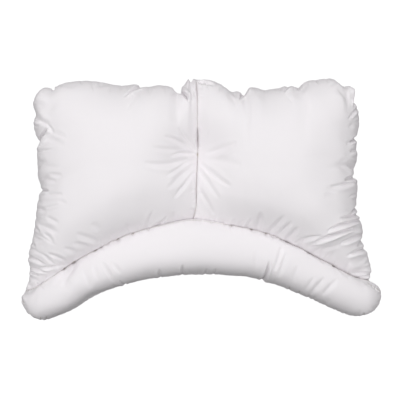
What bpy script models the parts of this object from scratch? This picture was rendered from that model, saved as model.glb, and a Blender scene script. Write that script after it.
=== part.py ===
"""Cervical pillow, lying on its back.

Two filled wings meet at a centre seam. A crescent neck roll is sewn along their arched lower edge.
Metres, +Z up, +Y towards the pillow's top edge, +X to its right. The origin lies on the surface
that the pillow rests on, under the middle of its plan.
"""
import math
from collections import namedtuple
from functools import lru_cache

import bmesh
import bpy
import numpy as np
from mathutils import Vector

# Heights of the filled chambers above the surface that they lie on
WING_LOFT = 0.118
ROLL_LOFT = 0.090
ROLL_TIP_LOFT = 0.066

# The seam round the edge, which lies lower towards the two bottom tips
SEAM_HEIGHT = 0.044
SEAM_DIP = 0.012
SEAM_DIP_FROM_Y = -0.020
SEAM_DIP_REACH = 0.160
SEAM_DRAW = 0.003
SEAM_DRAW_HEIGHT = 0.006
SEAM_CLEARANCE = 0.0003

# The through stitch in the centre seam, which makes the hollow for the head
TACK = Vector((-0.006, 0.075))
TACK_DEPTH = 0.026
TACK_SPREAD = 0.052

# How full the cloth is where it turns over an edge, and in a corner between two edges
TURN_OUT = 2.2
TURN_UP = 1.9
CORNER_FULLNESS = 3.0

# How the cloth rises from a border of its chamber: over what share of the plan, from what share of the
# height, and how much of that height the stitches take back. An edge starts from no height at all.
Border = namedtuple("Border", "reach share groove")
GROOVE_REACH = 0.04
EDGE = 0.0
WING_OVER = [
    Border(0.42, 0.60, 0.10),  # centre seam
    Border(0.55, EDGE, 0.00),  # side edge
    Border(0.40, 0.34, 0.06),  # seam with the roll
    Border(0.50, EDGE, 0.00),  # top edge
]
WING_UNDER = [
    Border(0.22, 0.45, 0.00),
    Border(0.20, EDGE, 0.00),
    Border(0.22, 0.45, 0.00),
    Border(0.22, EDGE, 0.00),
]
ROLL_OVER = [
    Border(0.09, EDGE, 0.00),  # left tip
    Border(0.09, EDGE, 0.00),  # right tip
    Border(0.52, EDGE, 0.00),  # lower edge
    Border(0.50, 0.52, 0.08),  # seam with the wings
]
ROLL_UNDER = [
    Border(0.07, EDGE, 0.00),
    Border(0.07, EDGE, 0.00),
    Border(0.42, EDGE, 0.00),
    Border(0.36, 0.40, 0.00),
]

# Grid lines across a chamber, and those that an edge or a sewn wall adds
WING_COLUMNS = 32
WING_ROWS = 27
ROLL_COLUMNS = 56
ROLL_ROWS = 11
TURN_STEPS = 4
WALL_STEPS = 2
FLOOR_TOLERANCE = 1e-6
MERGE_DISTANCE = 1e-5

# Cloth of the cover
COTTON_WHITE = (0.86, 0.83, 0.85, 1.0)
COTTON_ROUGHNESS = 0.85

# Plan of the seams and edges, left and right as seen from above, each listed once
CENTRE_SEAM = [
    (-0.008, 0.203), (-0.006, 0.168), (-0.006, 0.134), (-0.005, 0.092),
    (-0.006, 0.060), (-0.008, 0.020), (-0.009, -0.020), (-0.014, -0.036),
]
ROLL_SEAM_LEFT = [
    (-0.014, -0.036), (-0.049, -0.041), (-0.085, -0.049), (-0.141, -0.068), (-0.180, -0.088),
    (-0.218, -0.108), (-0.258, -0.137), (-0.279, -0.150), (-0.301, -0.158),
]
ROLL_SEAM_RIGHT = [
    (-0.014, -0.036), (0.019, -0.039), (0.051, -0.045), (0.083, -0.051), (0.109, -0.058),
    (0.146, -0.073), (0.182, -0.091), (0.224, -0.114), (0.260, -0.132), (0.286, -0.139),
]
TOP_EDGE_LEFT = [
    (-0.008, 0.203), (-0.021, 0.204), (-0.032, 0.190), (-0.038, 0.181), (-0.051, 0.190),
    (-0.070, 0.193), (-0.104, 0.190), (-0.134, 0.193), (-0.172, 0.199), (-0.206, 0.201),
    (-0.236, 0.196), (-0.250, 0.188), (-0.267, 0.189), (-0.280, 0.178),
]
SIDE_EDGE_LEFT = [
    (-0.280, 0.178), (-0.286, 0.157), (-0.282, 0.144), (-0.284, 0.131), (-0.281, 0.108),
    (-0.276, 0.097), (-0.278, 0.075), (-0.277, 0.034), (-0.272, 0.015), (-0.276, 0.001),
    (-0.286, -0.061), (-0.295, -0.100), (-0.294, -0.129), (-0.301, -0.158),
]
TOP_EDGE_RIGHT = [
    (-0.008, 0.203), (0.010, 0.203), (0.022, 0.200), (0.040, 0.191), (0.049, 0.184),
    (0.063, 0.184), (0.071, 0.180), (0.087, 0.190), (0.106, 0.185), (0.149, 0.193),
    (0.165, 0.191), (0.176, 0.199), (0.196, 0.203), (0.224, 0.204), (0.242, 0.191), (0.250, 0.192),
    (0.258, 0.187),
]
SIDE_EDGE_RIGHT = [
    (0.258, 0.187), (0.262, 0.178), (0.260, 0.168), (0.266, 0.155), (0.269, 0.124),
    (0.264, 0.106), (0.264, 0.063), (0.259, 0.044), (0.264, 0.032), (0.266, -0.022),
    (0.275, -0.053), (0.275, -0.071), (0.283, -0.092), (0.292, -0.127), (0.286, -0.139),
]
ROLL_END_LEFT = [(-0.284, -0.205), (-0.296, -0.194), (-0.305, -0.170), (-0.301, -0.158)]
ROLL_END_RIGHT = [
    (0.277, -0.198), (0.291, -0.190), (0.301, -0.177), (0.305, -0.160), (0.299, -0.146), (0.286, -0.139),
]
ROLL_FREE_EDGE = [
    (-0.284, -0.205), (-0.267, -0.205), (-0.248, -0.199), (-0.218, -0.185), (-0.189, -0.166),
    (-0.160, -0.154), (-0.100, -0.136), (-0.032, -0.127), (0.030, -0.128), (0.100, -0.138),
    (0.141, -0.151), (0.182, -0.168), (0.223, -0.187), (0.246, -0.196), (0.264, -0.199), (0.277, -0.198),
]

# One row for each main fold: where it starts, where it runs to, its half width and its depth.
# A pucker is deepest at its start, on an edge. A crease is deepest along its middle.
Fold = namedtuple("Fold", "kind x y to_x to_y half_width depth")
FOLDS = [
    Fold("pucker", -0.037, 0.183, -0.020, 0.166, 0.007, 0.008),
    Fold("pucker", -0.104, 0.192, -0.132, 0.164, 0.008, 0.007),
    Fold("pucker", -0.250, 0.190, -0.238, 0.176, 0.007, 0.006),
    Fold("pucker", -0.276, 0.097, -0.248, 0.126, 0.007, 0.007),
    Fold("pucker", -0.272, 0.015, -0.246, 0.018, 0.007, 0.006),
    Fold("crease", -0.246, 0.108, -0.214, 0.093, 0.008, 0.004),
    Fold("crease", -0.268, -0.074, -0.230, -0.090, 0.008, 0.004),
    Fold("pucker", -0.293, -0.104, -0.240, -0.107, 0.008, 0.005),
    Fold("crease", -0.208, -0.058, -0.170, -0.078, 0.009, 0.003),
    Fold("crease", -0.011, 0.078, -0.066, 0.108, 0.008, 0.004),
    Fold("crease", -0.011, 0.072, -0.072, 0.084, 0.007, 0.004),
    Fold("crease", -0.011, 0.070, -0.088, 0.060, 0.008, 0.004),
    Fold("crease", -0.012, 0.060, -0.062, 0.020, 0.008, 0.004),
    Fold("crease", -0.010, 0.050, -0.046, 0.002, 0.008, 0.003),
    Fold("crease", 0.000, 0.078, 0.060, 0.096, 0.008, 0.003),
    Fold("crease", 0.002, 0.066, 0.060, 0.028, 0.008, 0.004),
    Fold("crease", 0.001, 0.056, 0.032, -0.014, 0.008, 0.004),
    Fold("pucker", 0.071, 0.182, 0.062, 0.164, 0.008, 0.007),
    Fold("pucker", 0.152, 0.194, 0.136, 0.174, 0.008, 0.005),
    Fold("pucker", 0.243, 0.192, 0.240, 0.156, 0.008, 0.005),
    Fold("pucker", 0.262, 0.168, 0.252, 0.150, 0.007, 0.006),
    Fold("pucker", 0.266, 0.104, 0.246, 0.094, 0.007, 0.006),
    Fold("pucker", 0.262, 0.042, 0.216, 0.028, 0.008, 0.008),
    Fold("pucker", 0.272, -0.034, 0.214, -0.052, 0.008, 0.007),
    Fold("crease", 0.250, -0.050, 0.182, -0.078, 0.008, 0.007),
    Fold("pucker", 0.277, -0.078, 0.246, -0.090, 0.007, 0.006),
    Fold("crease", 0.202, -0.060, 0.150, -0.074, 0.008, 0.004),
    Fold("crease", 0.094, -0.022, 0.086, -0.046, 0.008, 0.004),
    Fold("crease", -0.168, -0.104, -0.138, -0.142, 0.008, 0.004),
    Fold("pucker", 0.104, -0.140, 0.112, -0.100, 0.008, 0.006),
    Fold("crease", 0.222, -0.120, 0.186, -0.160, 0.009, 0.004),
]
PUCKER_FADE = 1.5


def curve_through(points):
    """A smooth curve through the points, as a function of the fraction of its length."""
    knots = np.array(points)
    steps = np.linalg.norm(np.diff(knots, axis=0), axis=1)
    at = np.concatenate([[0.0], np.cumsum(steps)]) / steps.sum()
    slopes = np.gradient(knots, at, axis=0)

    @lru_cache(maxsize=None)
    def point(fraction):
        span = min(int(np.searchsorted(at, fraction, side="right")) - 1, len(at) - 2)
        width = at[span + 1] - at[span]
        part = (fraction - at[span]) / width
        rise = part * part * (3 - 2 * part)
        leave = part * (1 - part) ** 2 * width
        arrive = part * part * (part - 1) * width
        place = knots[span] * (1 - rise) + knots[span + 1] * rise
        return Vector(place + slopes[span] * leave + slopes[span + 1] * arrive)

    return point


def patch(low, high, left, right):
    """The plan between four border curves that meet at their ends (a Coons patch)."""

    def point(u, v):
        across = low(u) * (1 - v) + high(u) * v
        along = left(v) * (1 - u) + right(v) * u
        bottom = low(0) * (1 - u) + low(1) * u
        top = high(0) * (1 - u) + high(1) * u
        return across + along - bottom * (1 - v) - top * v

    return point


def clamp(value):
    return min(max(value, 0.0), 1.0)


def turn_over(distance):
    """Height of the cloth, from 0 at an edge to 1, as it turns over a rounded edge."""
    return (1 - (1 - clamp(distance)) ** TURN_OUT) ** (1 / TURN_UP)


def swell(distance):
    """Height of the cloth, from 0 to 1, as it climbs away from a sewn border."""
    return math.sin(math.pi / 2 * clamp(distance))


def ramp(distance):
    """A rise from 0 to 1 that is level at both ends."""
    return clamp(distance) ** 2 * (3 - 2 * clamp(distance))


def both(first, second):
    """Two heights joined so that a corner stays full."""
    if first <= 0 or second <= 0:
        return 0.0
    joined = first**-CORNER_FULLNESS + second**-CORNER_FULLNESS - 1
    return joined ** (-1 / CORNER_FULLNESS)


def height_share(borders, u, v):
    """Share of its full height that a chamber's cloth reaches at a place between its four borders."""
    edges, seams, grooves = 1.0, 1.0, 0.0
    for border, distance in zip(borders, (u, 1 - u, v, 1 - v)):
        if border.share == EDGE:
            edges = both(edges, turn_over(distance / border.reach))
        else:
            seams *= border.share + (1 - border.share) * swell(distance / border.reach)
            grooves += border.groove * math.exp(-((distance / GROOVE_REACH) ** 2))
    return edges * (seams - grooves)


def seam_height(place):
    """Height of the edge seam above the surface."""
    return SEAM_HEIGHT - SEAM_DIP * ramp((SEAM_DIP_FROM_Y - place.y) / SEAM_DIP_REACH)


def tack_depth(place):
    """How far the through stitch pulls the upper cloth down."""
    return TACK_DEPTH * math.exp(-(((place - TACK).length / TACK_SPREAD) ** 2))


def wing_loft(u):
    """Both wings are filled alike all across."""
    return WING_LOFT


def roll_loft(u):
    """The roll is thickest in its middle and slimmer towards both tips."""
    from_middle = 2 * u - 1
    return ROLL_LOFT - (ROLL_LOFT - ROLL_TIP_LOFT) * from_middle**2


def grid_lines(count, starts_sewn, ends_sewn):
    """Each grid line's fraction of the plan, and its share of the height of a sewn wall.

    Lines crowd together towards an edge, where the cloth turns over. A sewn border is a wall.
    """
    wall = [(0.0, step / WALL_STEPS) for step in range(WALL_STEPS + 1)]
    turn = [((step / TURN_STEPS) ** 2 / count, 1.0) for step in range(TURN_STEPS)]
    start = wall if starts_sewn else turn
    middle = [(line / count, 1.0) for line in range(1, count)]
    end = wall if ends_sewn else turn
    return start + middle + [(1 - fraction, share) for fraction, share in reversed(end)]


def sheet(mesh, columns, rows, place_of):
    """One side of the cover: a grid laid where the cloth lies, which also notes the sewn walls."""
    free = mesh.verts.layers.float["free"]
    lines = []
    for u, wall_u in columns:
        lines.append([])
        for v, wall_v in rows:
            share = min(wall_u, wall_v)
            vertex = mesh.verts.new(place_of(u, v, share))
            vertex[free] = share
            lines[-1].append(vertex)
    for line, following in zip(lines, lines[1:]):
        for near, far, next_near, next_far in zip(line, line[1:], following, following[1:]):
            mesh.faces.new((near, far, next_far, next_near))


def fold_depth(fold, place):
    """How far one fold draws the cloth in at a place on the plan."""
    start = Vector((fold.x, fold.y))
    run = Vector((fold.to_x, fold.to_y)) - start
    along = (place - start).dot(run) / run.length_squared
    aside = (place - start - run * along).length
    if fold.kind == "pucker":
        share = (1 - clamp(along)) ** PUCKER_FADE
    else:
        share = math.sin(math.pi * clamp(along))
    return fold.depth * share * math.exp(-((aside / fold.half_width) ** 2))


def draw_in(mesh):
    """Pulls the edge seam and the main folds into the filled form, along the cloth's normals."""
    free = mesh.verts.layers.float["free"]
    mesh.normal_update()
    moves = {}
    for vertex in mesh.verts:
        place = vertex.co.xy
        seam = seam_height(place)
        folds = sum(fold_depth(fold, place) for fold in FOLDS) * ramp(vertex.co.z / seam)
        from_seam = (vertex.co.z - seam) / SEAM_DRAW_HEIGHT
        stitched = SEAM_DRAW * math.exp(-(from_seam**2)) * vertex[free]
        moves[vertex] = vertex.normal * -(folds + stitched)
    for vertex, move in moves.items():
        if vertex.co.z > FLOOR_TOLERANCE:
            vertex.co += move
        vertex.co.z = max(vertex.co.z, 0.0)


def lay_flat(mesh):
    """The part that lies on the surface becomes one flat face."""
    resting = [face for face in mesh.faces if all(v.co.z <= FLOOR_TOLERANCE for v in face.verts)]
    bmesh.ops.dissolve_faces(mesh, faces=resting, use_verts=True)


def chamber(name, plan, shift, columns, rows, loft, over, under):
    """A filled chamber: two sheets of cloth between the same four seams and edges."""

    def upper(u, v, wall):
        place = plan(u, v)
        seam = seam_height(place)
        rise = (loft(u) - seam) * height_share(over, u, v) - tack_depth(place)
        return (place + shift).to_3d() + Vector((0, 0, seam + max(rise, 0.0) * wall))

    def lower(u, v, wall):
        place = plan(u, v)
        seam = seam_height(place)
        drop = seam * height_share(under, u, v)
        return (place + shift).to_3d() + Vector((0, 0, seam - drop * wall))

    mesh = bmesh.new()
    mesh.verts.layers.float.new("free")
    sheet(mesh, columns, rows, upper)
    sheet(mesh, columns, rows, lower)
    bmesh.ops.remove_doubles(mesh, verts=mesh.verts, dist=MERGE_DISTANCE)
    bmesh.ops.recalc_face_normals(mesh, faces=mesh.faces)
    if mesh.calc_volume(signed=True) < 0:
        bmesh.ops.reverse_faces(mesh, faces=mesh.faces)
    draw_in(mesh)
    lay_flat(mesh)
    data = bpy.data.meshes.new(name)
    mesh.to_mesh(data)
    mesh.free()
    data.shade_smooth()
    return bpy.data.objects.new(name, data)


def cotton(name):
    """White cotton cambric."""
    material = bpy.data.materials.new(name)
    material.use_nodes = True
    shader = material.node_tree.nodes["Principled BSDF"]
    shader.inputs["Base Color"].default_value = COTTON_WHITE
    shader.inputs["Roughness"].default_value = COTTON_ROUGHNESS
    shader.inputs["Metallic"].default_value = 0.0
    return material


def backwards(curve):
    return lambda fraction: curve(1 - fraction)


def wings():
    """The left and right wings, each from the centre seam out to its side edge."""
    columns = grid_lines(WING_COLUMNS, starts_sewn=True, ends_sewn=False)
    rows = grid_lines(WING_ROWS, starts_sewn=True, ends_sewn=False)
    borders = {
        "wing_left": (ROLL_SEAM_LEFT, TOP_EDGE_LEFT, SIDE_EDGE_LEFT, -SEAM_CLEARANCE),
        "wing_right": (ROLL_SEAM_RIGHT, TOP_EDGE_RIGHT, SIDE_EDGE_RIGHT, SEAM_CLEARANCE),
    }
    for name, (roll_seam, top_edge, side_edge, aside) in borders.items():
        plan = patch(
            low=curve_through(roll_seam),
            high=curve_through(top_edge),
            left=backwards(curve_through(CENTRE_SEAM)),
            right=backwards(curve_through(side_edge)),
        )
        shift = Vector((aside, SEAM_CLEARANCE))
        yield chamber(name, plan, shift, columns, rows, wing_loft, WING_OVER, WING_UNDER)


def neck_roll():
    """The crescent roll, from its left tip to its right tip."""
    columns = grid_lines(ROLL_COLUMNS, starts_sewn=False, ends_sewn=False)
    rows = grid_lines(ROLL_ROWS, starts_sewn=False, ends_sewn=True)
    plan = patch(
        low=curve_through(ROLL_FREE_EDGE),
        high=curve_through(ROLL_SEAM_LEFT[::-1] + ROLL_SEAM_RIGHT[1:]),
        left=curve_through(ROLL_END_LEFT),
        right=curve_through(ROLL_END_RIGHT),
    )
    shift = Vector((0.0, -SEAM_CLEARANCE))
    return chamber("neck_roll", plan, shift, columns, rows, roll_loft, ROLL_OVER, ROLL_UNDER)


def clear_scene():
    for old in list(bpy.data.objects):
        bpy.data.objects.remove(old)


def main():
    clear_scene()
    pillow = bpy.data.collections.new("cervical_pillow")
    bpy.context.scene.collection.children.link(pillow)
    for piece in [*wings(), neck_roll()]:
        piece.data.materials.append(cotton(piece.name + "_cotton"))
        pillow.objects.link(piece)


main()
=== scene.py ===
# %% [markdown]
# # A cervical pillow in white cotton
#
# The pillow has three filled chambers: a left wing, a right wing, and a crescent neck roll along their
# arched lower edge. Plain solids of the three already exist, and this lesson dresses them: it gives each
# chamber a fine cotton cover with its puckers and creases, sews the seams, and lights it like a shop photo.
# We start by loading the solids. They stay where they are and hold the pillow's size.

# %% Load the solids
import math
import random
from collections import namedtuple

import bmesh
import bpy
import numpy as np
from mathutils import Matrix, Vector, noise
from mathutils.bvhtree import BVHTree


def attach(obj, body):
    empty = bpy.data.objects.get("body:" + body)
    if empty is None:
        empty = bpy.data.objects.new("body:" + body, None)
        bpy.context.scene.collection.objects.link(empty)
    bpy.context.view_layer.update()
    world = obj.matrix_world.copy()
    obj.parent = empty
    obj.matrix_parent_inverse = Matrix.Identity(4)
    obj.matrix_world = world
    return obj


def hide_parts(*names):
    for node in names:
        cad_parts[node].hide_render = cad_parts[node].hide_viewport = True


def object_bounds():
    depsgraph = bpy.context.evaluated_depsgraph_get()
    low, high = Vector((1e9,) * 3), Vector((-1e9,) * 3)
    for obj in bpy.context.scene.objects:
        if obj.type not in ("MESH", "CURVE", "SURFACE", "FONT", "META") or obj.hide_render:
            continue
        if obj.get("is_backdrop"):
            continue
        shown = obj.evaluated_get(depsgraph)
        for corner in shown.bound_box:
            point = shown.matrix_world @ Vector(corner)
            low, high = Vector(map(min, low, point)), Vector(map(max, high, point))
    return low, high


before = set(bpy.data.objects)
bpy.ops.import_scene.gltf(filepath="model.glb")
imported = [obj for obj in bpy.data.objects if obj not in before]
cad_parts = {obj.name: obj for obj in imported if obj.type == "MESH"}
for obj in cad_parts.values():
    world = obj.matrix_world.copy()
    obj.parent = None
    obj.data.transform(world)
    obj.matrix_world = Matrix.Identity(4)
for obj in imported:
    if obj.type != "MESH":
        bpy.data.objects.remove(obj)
solid_low, solid_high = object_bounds()
MM = 0.001
print("solids:", ", ".join(sorted(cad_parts)))
print("box in mm:", [round((high - low) / MM) for low, high in zip(solid_low, solid_high)])

# %% [markdown]
# ## Camera
#
# The pillow lies on its back and the camera looks straight down at its face. A long lens far away keeps
# the edges from spreading. The distance follows from one rule: each of the picture's 400 pixels has to
# show 1.7 mm at the height of the edge seam.

# %% Camera
PIXEL = 1.7 * MM
PICTURE_WIDTH = 400 * PIXEL
EDGE_SEAM = 44 * MM
LOOK_AT = Vector((-PIXEL, -PIXEL, EDGE_SEAM))
LENS = 100.0

camera = bpy.data.objects.new("camera", bpy.data.cameras.new("camera"))
camera.data.lens = LENS
camera.location = LOOK_AT + Vector((0, 0, PICTURE_WIDTH * LENS / camera.data.sensor_width))
bpy.context.collection.objects.link(camera)
bpy.context.scene.camera = camera
print("camera height in m:", round(camera.location.z, 3))

# %% [markdown]
# ## Studio
#
# A shop photo of white bedding wants a floor that goes to pure white, and light with almost no hard
# shadow. Four square panels give that light. The one beyond the top edge is the strongest and the one on
# the right the weakest, so the slopes that face the bottom and the right of the picture turn a soft grey.
# The paper on the floor is grey, so that it throws little light under the pillow, but it glows for the
# camera alone, which bleaches it to white. A dark card stands below the picture's lower edge. It keeps low
# light off the rim there, and the camera never sees it.

# %% Lamps
Panel = namedtuple("Panel", "name place watts")
PANELS = [
    Panel("panel_top", Vector((0.0, 1.7, 1.7)), 20.7),
    Panel("panel_left", Vector((-1.7, 0.0, 1.7)), 11.0),
    Panel("panel_right", Vector((1.7, 0.0, 1.7)), 6.9),
    Panel("panel_overhead", Vector((0.0, -0.6, 2.3)), 15.9),
]
PANEL_SIZE = 1.5
SKY = (1.0, 1.0, 1.0, 1.0)
SKY_STRENGTH = 0.30

bpy.context.scene.view_settings.view_transform = "Standard"
world = bpy.data.worlds.new("studio")
world.use_nodes = True
world.node_tree.nodes["Background"].inputs["Color"].default_value = SKY
world.node_tree.nodes["Background"].inputs["Strength"].default_value = SKY_STRENGTH
bpy.context.scene.world = world

for panel in PANELS:
    lamp = bpy.data.objects.new(panel.name, bpy.data.lights.new(panel.name, "AREA"))
    lamp.data.size = PANEL_SIZE
    lamp.data.energy = panel.watts
    lamp.location = panel.place
    lamp.rotation_euler = (-panel.place).to_track_quat("-Z", "Y").to_euler()
    bpy.context.collection.objects.link(lamp)
print("lamps:", ", ".join(panel.name for panel in PANELS))

# %% Floor and card
FLOOR_SIZE = 8.0
FLOOR_GREY = (0.22, 0.22, 0.22, 1.0)
FLOOR_ROUGHNESS = 0.9
FLOOR_GLOW = 0.90
CARD_Y = -0.42
CARD_SIZE = (0.8, 0.17)
CARD_GREY = (0.03, 0.03, 0.03, 1.0)


def flat_sheet(name, corners, material):
    """A sheet with one face between four corners."""
    mesh = bpy.data.meshes.new(name)
    mesh.from_pydata(corners, [], [(0, 1, 2, 3)])
    mesh.materials.append(material)
    sheet = bpy.data.objects.new(name, mesh)
    bpy.context.collection.objects.link(sheet)
    return sheet


def glowing_paper():
    """Grey paper that the camera sees as white."""
    material = bpy.data.materials.new("studio_paper")
    material.use_nodes = True
    nodes, links = material.node_tree.nodes, material.node_tree.links
    paper = nodes["Principled BSDF"]
    paper.inputs["Base Color"].default_value = FLOOR_GREY
    paper.inputs["Roughness"].default_value = FLOOR_ROUGHNESS
    glow = nodes.new("ShaderNodeEmission")
    glow.inputs["Strength"].default_value = FLOOR_GLOW
    together = nodes.new("ShaderNodeAddShader")
    seen = nodes.new("ShaderNodeLightPath")
    choose = nodes.new("ShaderNodeMixShader")
    links.new(paper.outputs["BSDF"], together.inputs[0])
    links.new(glow.outputs["Emission"], together.inputs[1])
    links.new(seen.outputs["Is Camera Ray"], choose.inputs["Fac"])
    links.new(paper.outputs["BSDF"], choose.inputs[1])
    links.new(together.outputs["Shader"], choose.inputs[2])
    links.new(choose.outputs["Shader"], nodes["Material Output"].inputs["Surface"])
    return material


def dark_card():
    material = bpy.data.materials.new("studio_card")
    material.use_nodes = True
    material.node_tree.nodes["Principled BSDF"].inputs["Base Color"].default_value = CARD_GREY
    return material


side = FLOOR_SIZE / 2
floor_corners = [(-side, -side, 0), (side, -side, 0), (side, side, 0), (-side, side, 0)]
flat_sheet("studio_floor", floor_corners, glowing_paper())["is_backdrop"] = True
end, top = CARD_SIZE[0] / 2, CARD_SIZE[1]
card_corners = [(-end, CARD_Y, 0), (end, CARD_Y, 0), (end, CARD_Y, top), (-end, CARD_Y, top)]
card = flat_sheet("studio_card", card_corners, dark_card())
card.visible_camera = False
card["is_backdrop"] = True
print("floor", FLOOR_SIZE, "m wide, card", CARD_SIZE, "m")

# %% [markdown]
# ## Plan of the pillow
#
# Seen from above, every chamber lies between four lines: seams that it shares with a neighbour, and edges
# of its own. A pattern cutter would draw them on paper, so we list them the same way, in millimetres from
# the middle of the pillow. Each bay in an edge is a place where the seam pulls the cloth in.

# %% Seams and edges
CENTRE_SEAM = [
    (-8, 203), (-6, 168), (-6, 134), (-5, 92), (-6, 60), (-8, 20), (-9, -20), (-14, -36),
]
ROLL_SEAM_LEFT = [
    (-14, -36), (-49, -41), (-85, -49), (-141, -68), (-180, -88), (-218, -108),
    (-258, -137), (-279, -150), (-301, -158),
]
ROLL_SEAM_RIGHT = [
    (-14, -36), (19, -39), (51, -45), (83, -51), (109, -58), (146, -73), (182, -91),
    (224, -114), (260, -132), (286, -139),
]
TOP_EDGE_LEFT = [
    (-8, 203), (-13, 205), (-17, 199), (-21, 205), (-27, 197), (-32, 189), (-38, 181), (-51, 190),
    (-70, 193), (-100, 191),
    (-106, 194), (-134, 193), (-172, 199), (-206, 201), (-236, 196), (-250, 188), (-267, 189),
    (-280, 178),
]
SIDE_EDGE_LEFT = [
    (-280, 178), (-286, 157), (-282, 144), (-284, 131), (-281, 108), (-276, 97), (-278, 75),
    (-277, 34), (-272, 15), (-276, 1), (-286, -61), (-295, -100), (-294, -129), (-301, -158),
]
TOP_EDGE_RIGHT = [
    (-8, 203), (10, 203), (22, 200), (40, 191), (49, 184), (63, 184), (71, 180), (79, 188),
    (90, 190), (106, 185), (118, 186), (149, 193), (165, 191), (176, 199), (196, 203), (224, 204),
    (242, 191), (250, 192), (258, 187),
]
SIDE_EDGE_RIGHT = [
    (258, 187), (262, 178), (260, 168), (266, 155), (269, 124), (264, 106), (264, 63), (259, 44),
    (264, 32), (266, -22), (275, -53), (275, -71), (283, -92), (292, -127), (286, -139),
]
ROLL_END_LEFT = [(-284, -205), (-296, -194), (-305, -170), (-301, -158)]
ROLL_END_RIGHT = [(277, -198), (293, -191), (303, -178), (306, -162), (300, -147), (286, -139)]
ROLL_FREE_EDGE = [
    (-284, -205), (-267, -208), (-248, -202), (-218, -190), (-189, -172), (-160, -158),
    (-100, -140), (-32, -131), (30, -131), (100, -140), (141, -153), (182, -169), (223, -188),
    (246, -198), (264, -201), (277, -198),
]


def curve_through(points):
    """A smooth curve through the points, as a function of the fractions of its length."""
    knots = np.array(points) * MM
    steps = np.linalg.norm(np.diff(knots, axis=0), axis=1)
    at = np.concatenate([[0.0], np.cumsum(steps)]) / steps.sum()
    slopes = np.gradient(knots, at, axis=0)

    def places(fractions):
        span = np.clip(np.searchsorted(at, fractions, side="right") - 1, 0, len(at) - 2)
        width = (at[span + 1] - at[span])[:, None]
        part = (fractions - at[span])[:, None] / width
        rise = part * part * (3 - 2 * part)
        leave = part * (1 - part) ** 2 * width
        arrive = part * part * (part - 1) * width
        middle = knots[span] * (1 - rise) + knots[span + 1] * rise
        return middle + slopes[span] * leave + slopes[span + 1] * arrive

    return places


def backwards(curve):
    return lambda fractions: curve(1 - fractions)


def patch(low, high, left, right):
    """The plan between four border curves that meet at their ends (a Coons patch)."""
    ends = np.array([0.0, 1.0])

    def places(u, v):
        over, up = u[:, None, None], v[None, :, None]
        across = low(u)[:, None] * (1 - up) + high(u)[:, None] * up
        along = left(v)[None] * (1 - over) + right(v)[None] * over
        (low_start, low_end), (high_start, high_end) = low(ends), high(ends)
        bottom = low_start * (1 - over) + low_end * over
        top = high_start * (1 - over) + high_end * over
        return across + along - bottom * (1 - up) - top * up

    return places


ROLL_SEAM = ROLL_SEAM_LEFT[::-1] + ROLL_SEAM_RIGHT[1:]
PLANS = {
    "wing_left": patch(
        curve_through(ROLL_SEAM_LEFT), curve_through(TOP_EDGE_LEFT),
        backwards(curve_through(CENTRE_SEAM)), backwards(curve_through(SIDE_EDGE_LEFT)),
    ),
    "wing_right": patch(
        curve_through(ROLL_SEAM_RIGHT), curve_through(TOP_EDGE_RIGHT),
        backwards(curve_through(CENTRE_SEAM)), backwards(curve_through(SIDE_EDGE_RIGHT)),
    ),
    "neck_roll": patch(
        curve_through(ROLL_FREE_EDGE), curve_through(ROLL_SEAM),
        curve_through(ROLL_END_LEFT), curve_through(ROLL_END_RIGHT),
    ),
}
print("plans of", ", ".join(PLANS))

# %% [markdown]
# ## How high the filling lifts the cloth
#
# A filled chamber is two sheets of cloth, sewn together all round. From an edge the cloth turns over like
# the side of a loaf. From a seam it climbs more gently, because its neighbour holds it up there. The
# through stitch in the centre seam pulls a hollow for the head. A formula for each of these gives the
# height at any place of the plan, which is easier to steer than a sculpted mesh.

# %% Heights of the chambers
WING_LOFT = 118 * MM
ROLL_LOFT = 90 * MM
ROLL_TIP_LOFT = 66 * MM
SEAM_DIP = 12 * MM
SEAM_DIP_FROM_Y = -20 * MM
SEAM_DIP_REACH = 160 * MM
SEAM_PRESS = 0.1 * MM
TACK = np.array([-6, 75]) * MM
TACK_DEPTH = 28 * MM
TACK_SPREAD = 52 * MM
TURN_OUT = 2.2
TURN_UP = 1.9
SWELL_POWER = 2.3
CORNER_FULLNESS = 3.0
GROOVE_REACH = 0.04
EDGE = 0.0
BARELY = 1e-4

Border = namedtuple("Border", "reach share groove")
WING_OVER = [
    Border(0.48, 0.58, 0.06),  # centre seam
    Border(0.55, EDGE, 0.00),  # side edge
    Border(0.42, 0.35, 0.03),  # seam with the roll
    Border(0.50, EDGE, 0.00),  # top edge
]
WING_UNDER = [
    Border(0.22, 0.45, 0.00),
    Border(0.20, EDGE, 0.00),
    Border(0.22, 0.45, 0.00),
    Border(0.22, EDGE, 0.00),
]
ROLL_OVER = [
    Border(0.06, EDGE, 0.00),  # left tip
    Border(0.055, EDGE, 0.00),  # right tip
    Border(0.52, EDGE, 0.00),  # lower edge
    Border(0.55, 0.50, 0.04),  # seam with the wings
]
ROLL_UNDER = [
    Border(0.07, EDGE, 0.00),
    Border(0.07, EDGE, 0.00),
    Border(0.42, EDGE, 0.00),
    Border(0.36, 0.40, 0.00),
]


def clamp(values):
    return np.clip(values, 0.0, 1.0)


def turn_over(distance):
    """Height of the cloth, from 0 at an edge to 1, as it turns over a rounded edge."""
    return (1 - (1 - clamp(distance)) ** TURN_OUT) ** (1 / TURN_UP)


def swell(distance):
    """Height of the cloth, from 0 to 1, as it climbs away from a sewn border, steepest at the seam."""
    return 1 - (1 - clamp(distance)) ** SWELL_POWER


def ramp(distance):
    """A rise from 0 to 1 that is level at both ends."""
    return clamp(distance) ** 2 * (3 - 2 * clamp(distance))


def both(first, second):
    """Two heights joined so that a corner stays full."""
    first, second = np.maximum(first, BARELY), np.maximum(second, BARELY)
    return (first**-CORNER_FULLNESS + second**-CORNER_FULLNESS - 1) ** (-1 / CORNER_FULLNESS)


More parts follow.
